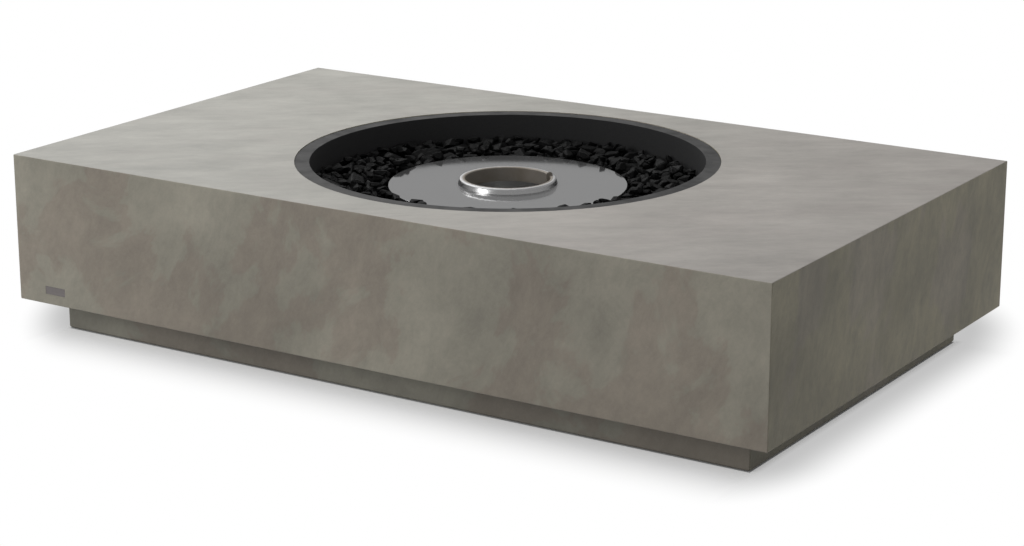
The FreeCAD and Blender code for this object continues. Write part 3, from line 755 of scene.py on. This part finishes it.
def fillPan():
    rng = random.Random(stoneFill["seed"])
    cell = stoneFill["cell"]
    ringNames = ("stones_inner_ring", "stones_middle_ring", "stones_outer_ring")
    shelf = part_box("stones_outer_ring")[0].z
    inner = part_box("burner_plate")[1].x + stoneFill["burnerGap"]
    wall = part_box("fire_pan")[1].x - stoneFill["flangeWidth"] - stoneFill["wallGap"]
    depth = (wall - inner) / len(ringNames)
    middles = [inner + depth * (number + 0.5) for number in range(len(ringNames))]
    highest = max(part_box(name)[1].z for name in ringNames)
    levels = [highest + level for level in stoneFill["levels"]]
    ground = int(math.ceil((wall + stoneFill["length"][1]) / cell))  # cells from middle to edge
    offsets = np.arange(-ground, ground + 1) * cell
    radius = np.hypot(*np.meshgrid(offsets, offsets, indexing="ij"))
    margin = 0.7 * cell  # half a cell's diagonal
    outside = (radius < inner + margin) | (radius > wall - margin)
    bend = stoneFill["wallBend"]
    intoBend = np.clip(radius - (wall - bend), 0, bend)
    heap = shelf + bend - np.sqrt(bend * bend - intoBend * intoBend)
    rings = [bmesh.new() for name in ringNames]
    tones = [ring.faces.layers.float.new("stoneTone") for ring in rings]

    def shapeStone(length, shard):
        width = length * rng.uniform(*stoneFill["shardWidth" if shard else "width"])
        height = length * (stoneFill["shardThickness"] if shard else rng.uniform(*stoneFill["thickness"]))
        stone, planes = breakStone((length, width, height), rng.randint(*stoneFill["cuts"]), rng)
        tilt = Matrix.Rotation(rng.uniform(0, math.tau), 3, "Z")
        tilt @= Matrix.Rotation(rng.gauss(0, stoneFill["lean"]), 3, "X")
        tilt @= Matrix.Rotation(rng.gauss(0, stoneFill["lean"]), 3, "Y")
        planes = [(tilt @ normal, reach) for normal, reach in planes]
        bmesh.ops.rotate(stone, verts=stone.verts, matrix=tilt)
        return stone, lieOf(planes, length * 0.75, cell)  # more than half its longest diagonal

    def findSeat(lie, far, proud):
        # the lowest of many seats, or for a proud stone the highest that stays under the highest level
        steps, under, over, covered = lie
        best = None
        for attempt in range(stoneFill["tries"]):
            out = math.sqrt(rng.uniform(inner * inner, far * far))
            bearing = rng.uniform(0, math.tau)
            column = int(round(out * math.cos(bearing) / cell)) + ground
            row = int(round(out * math.sin(bearing) / cell)) + ground
            window = (slice(column - steps, column + steps + 1), slice(row - steps, row + steps + 1))
            if (outside[window] & covered).any():
                continue
            seat = (heap[window] - under)[covered].max()
            surface = levels[-1] if proud else np.interp(out, middles, levels)
            room = surface - (seat + over[covered].max())
            if proud and room < 0:
                continue
            fit = -room if proud else room
            if best is None or fit > best[0]:
                best = (fit, seat, column, row, window)
        return best

    def layStone(stone, lie, length, found, tone):
        steps, under, over, covered = lie
        fit, seat, column, row, window = found
        heap[window] = np.where(covered, np.maximum(heap[window], seat + over), heap[window])
        spot = Vector(((column - ground) * cell, (row - ground) * cell, seat))
        bmesh.ops.translate(stone, verts=stone.verts, vec=spot)
        bevel = length * stoneFill["bevel"]
        bmesh.ops.remove_doubles(stone, verts=stone.verts, dist=bevel)
        bmesh.ops.bevel(
            stone, geom=stone.edges[:], offset=bevel, offset_type="OFFSET", segments=1,
            profile=0.5, affect="EDGES", clamp_overlap=True, material=-1)
        bmesh.ops.recalc_face_normals(stone, faces=stone.faces)
        spare = bpy.data.meshes.new("spare")
        stone.to_mesh(spare)
        index = min(int((spot.xy.length - inner) / depth), len(rings) - 1)
        before = len(rings[index].faces)
        rings[index].from_mesh(spare)
        bpy.data.meshes.remove(spare)
        rings[index].faces.ensure_lookup_table()
        for face in rings[index].faces[before:]:
            face[tones[index]] = tone

    count, missed = 0, 0
    while missed < stoneFill["misses"]:
        chip = missed > stoneFill["misses"] * stoneFill["chipsAfter"]
        length = rng.uniform(*stoneFill["length"]) * (stoneFill["chipSize"] if chip else 1.0)
        shard = rng.random() < stoneFill["shards"] and not chip
        stone, lie = shapeStone(length, shard)
        found = findSeat(lie, wall, False)
        if found is None or found[0] < abs(rng.gauss(0, stoneFill["settle"])):
            missed += 1
        else:
            tone = stoneFill["shardTone"] if shard else rng.uniform(*stoneFill["tones"])
            layStone(stone, lie, length, found, tone)
            count += 1
        stone.free()
    for number in range(stoneFill["toppers"]):
        length = rng.uniform(*stoneFill["topperLength"])
        stone, lie = shapeStone(length, False)
        found = findSeat(lie, inner + stoneFill["topperReach"], True)
        if found is not None:
            layStone(stone, lie, length, found, rng.uniform(*stoneFill["topperTones"]))
            count += 1
        stone.free()
    for name, ring in zip(ringNames, rings):
        mesh = bpy.data.meshes.new("loose_" + name)
        ring.to_mesh(mesh)
        print(name, len(mesh.polygons), "faces")
        ring.free()
        mesh.materials.append(finishes["black_stones"])
        piece = bpy.data.objects.new("loose_" + name, mesh)
        bpy.context.scene.collection.objects.link(piece)
        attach(piece, "pan")
        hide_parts(name)
    print(count, "stones lie in the pan")


fillPan()


# studio: white seamless floor, one large overhead light, one softer light at the left

studio = {
    "roomGrey": 0.37,  # what the object sees all round, as light and in its reflections
    "backdropTop": (0.02, 0.07),  # metal sees the white backdrop fade into the room between these heights
    "floorRadius": 9.0,
    "floorTone": 0.80,
    "floorLift": 0.30,
    "floorBounce": 0.22,
    "underPlinth": 0.012,
    "shadowRight": 0.646,  # the floor's painted shadow is a soft-edged block, a little larger than the table
    "shadowLeft": 0.700,
    "rightSlant": (0.726, -0.25),  # slanting lines cut off its back right corner
    "leftSlant": (0.834, 0.555),  # and its front left one
    "shadowMiddle": 0.0625,
    "shadowDepth": 0.4575,
    "shadowEdge": (-0.081, 0.081),
    "shadowRound": 0.138,
    "endFade": 1.73,  # it fades this much faster off the two ends
    "farShade": 0.540,  # and is painted evenly grey off the ends and the back
    "farReach": (0.000, 0.014),  # from here to here past the plinth
}


def makeRoom():
    # the camera sees white, and so does metal near the horizon
    world = bpy.data.worlds.new("room")
    world.use_nodes = True
    bpy.context.scene.world = world
    tree = world.node_tree
    rays = tree.nodes.new("ShaderNodeLightPath")
    where = tree.nodes.new("ShaderNodeTexCoord")
    height = parted(tree, where.outputs["Generated"])[2]
    backdrop = ease(tree, height, *studio["backdropTop"], 1.0, 0.0)
    mirrored = calc(tree, "MAXIMUM", rays.outputs["Is Glossy Ray"], rays.outputs["Is Transmission Ray"])
    seen = calc(tree, "MAXIMUM", rays.outputs["Is Camera Ray"], calc(tree, "MULTIPLY", mirrored, backdrop))
    grey = (studio["roomGrey"],) * 3
    feed(tree, tree.nodes["Background"].inputs["Color"], blend(tree, seen, grey, (1.0, 1.0, 1.0)))


def shadowFade(tree, x, y):
    # 0 inside the floor's painted shadow and 1 well outside it
    rounding = studio["shadowRound"]

    def pastEnd(outward, limit, slanted):
        # how far a point lies past one end, which a slanting line cuts short
        end = calc(tree, "MINIMUM", line(tree, y, *slanted), limit)
        return calc(tree, "SUBTRACT", outward, end)

    right = pastEnd(x, studio["shadowRight"], studio["rightSlant"])
    left = pastEnd(calc(tree, "MULTIPLY", x, -1.0), studio["shadowLeft"], studio["leftSlant"])
    ends = line(tree, calc(tree, "MAXIMUM", left, right), rounding, studio["endFade"])
    sides = calc(tree, "ABSOLUTE", calc(tree, "SUBTRACT", y, studio["shadowMiddle"]))
    sides = calc(tree, "ADD", sides, rounding - studio["shadowDepth"])
    corner = joined(tree, calc(tree, "MAXIMUM", ends, 0.0), calc(tree, "MAXIMUM", sides, 0.0), 0.0)
    within = calc(tree, "MINIMUM", calc(tree, "MAXIMUM", ends, sides), 0.0)
    away = calc(tree, "ADD", vectorCalc(tree, "LENGTH", corner), within)
    return ease(tree, away, *[edge + rounding for edge in studio["shadowEdge"]])


def floorFinish():
    # lit like any floor, with its painted shadow drawn in and white beyond, for the camera and for
    # reflections
    paint = bpy.data.materials.new("floorPaint")
    paint.use_nodes = True
    tree = paint.node_tree
    tree.nodes.remove(tree.nodes["Principled BSDF"])
    rays = tree.nodes.new("ShaderNodeLightPath")
    seen = calc(tree, "MAXIMUM", rays.outputs["Is Camera Ray"], rays.outputs["Is Glossy Ray"])
    seen = calc(tree, "MAXIMUM", seen, rays.outputs["Is Transmission Ray"])
    spot = tree.nodes.new("ShaderNodeTexCoord").outputs["Object"]
    x, y = parted(tree, spot)[:2]
    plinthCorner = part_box("plinth")[1]
    offset = vectorCalc(tree, "SUBTRACT", vectorCalc(tree, "ABSOLUTE", spot), plinthCorner)
    offEnd, offSide = parted(tree, offset)[:2]
    outside = calc(tree, "GREATER_THAN", calc(tree, "MAXIMUM", offEnd, offSide), 0.0)
    visible = calc(tree, "MULTIPLY", outside, seen)
    fade = calc(tree, "MULTIPLY", shadowFade(tree, x, y), visible)
    offFar = calc(tree, "MAXIMUM", offEnd, calc(tree, "SUBTRACT", y, plinthCorner.y))
    farSide = calc(tree, "MULTIPLY", ease(tree, offFar, *studio["farReach"]), visible)
    lit = tree.nodes.new("ShaderNodeBsdfDiffuse")
    bounce, tone = (studio["floorBounce"],) * 3, (studio["floorTone"],) * 3
    feed(tree, lit.inputs["Color"], blend(tree, seen, bounce, tone))
    lift = tree.nodes.new("ShaderNodeEmission")
    glow = line(tree, outside, studio["underPlinth"], studio["floorLift"] - studio["underPlinth"])
    feed(tree, lift.inputs["Strength"], calc(tree, "MULTIPLY", seen, glow))
    both = tree.nodes.new("ShaderNodeAddShader")
    feed(tree, both.inputs[0], lit.outputs[0])
    feed(tree, both.inputs[1], lift.outputs[0])
    surface = both.outputs[0]
    # painted shadow: an even grey glow off the ends and the back, then white beyond the shadow's block
    for share, strength in ((farSide, studio["farShade"]), (fade, 1.0)):
        plain = tree.nodes.new("ShaderNodeEmission")
        plain.inputs["Strength"].default_value = strength
        mixed = tree.nodes.new("ShaderNodeMixShader")
        feed(tree, mixed.inputs[0], share)
        feed(tree, mixed.inputs[1], surface)
        feed(tree, mixed.inputs[2], plain.outputs[0])
        surface = mixed.outputs[0]
    feed(tree, tree.nodes["Material Output"].inputs["Surface"], surface)
    return paint


def makeFloor():
    base = bmesh.new()
    bmesh.ops.create_circle(base, cap_ends=True, radius=studio["floorRadius"], segments=96)
    mesh = bpy.data.meshes.new("floor")
    base.to_mesh(mesh)
    base.free()
    mesh.materials.append(floorFinish())
    floor = bpy.data.objects.new("floor", mesh)
    bpy.context.scene.collection.objects.link(floor)


lamps = {
    "overhead": {"from": (-1.50, 0.55, 2.28), "size": (1.6, 1.6), "watts": 37.5},
    "leftSoftbox": {"from": (-1.44, -2.63, 1.15), "size": (1.2, 1.2), "watts": 18.5},
}
lampAim = Vector((0.0, 0.0, 0.2))


def makeLamp(name, lamp):
    light = bpy.data.lights.new(name, "AREA")
    light.shape = "RECTANGLE"
    light.size, light.size_y = lamp["size"]
    light.energy = lamp["watts"]
    fitting = bpy.data.objects.new(name, light)
    bpy.context.scene.collection.objects.link(fitting)
    fitting.location = lamp["from"]
    fitting.rotation_euler = (lampAim - fitting.location).to_track_quat("-Z", "Y").to_euler()


stand = {
    "azimuth": 32.58,  # degrees round from the front
    "elevation": 16.16,
    "distance": 3.863,
    "aimRight": 0.0063,  # the aim, from the middle of the table top
    "aimUp": -0.1719,
    "lens": 91.25,
    "sensor": 36.0,
}


def makeCamera():
    azimuth, elevation = math.radians(stand["azimuth"]), math.radians(stand["elevation"])
    level = math.cos(elevation)
    back = Vector((math.sin(azimuth) * level, -math.cos(azimuth) * level, math.sin(elevation)))
    right = Vector((math.cos(azimuth), math.sin(azimuth), 0.0))
    up = back.cross(right)
    lens = bpy.data.cameras.new("camera")
    lens.lens = stand["lens"]
    lens.sensor_width = stand["sensor"]
    camera = bpy.data.objects.new("camera", lens)
    bpy.context.scene.collection.objects.link(camera)
    topMiddle = Vector((0.0, 0.0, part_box("table_shell")[1].z))
    aim = topMiddle + right * stand["aimRight"] + up * stand["aimUp"]
    camera.location = aim + back * stand["distance"]
    camera.rotation_euler = (-back).to_track_quat("-Z", "Y").to_euler()
    bpy.context.scene.camera = camera


makeRoom()
makeFloor()
for lampName, lampValues in lamps.items():
    makeLamp(lampName, lampValues)
makeCamera()
bpy.context.scene.view_settings.view_transform = "Standard"
print("studio and camera ready")
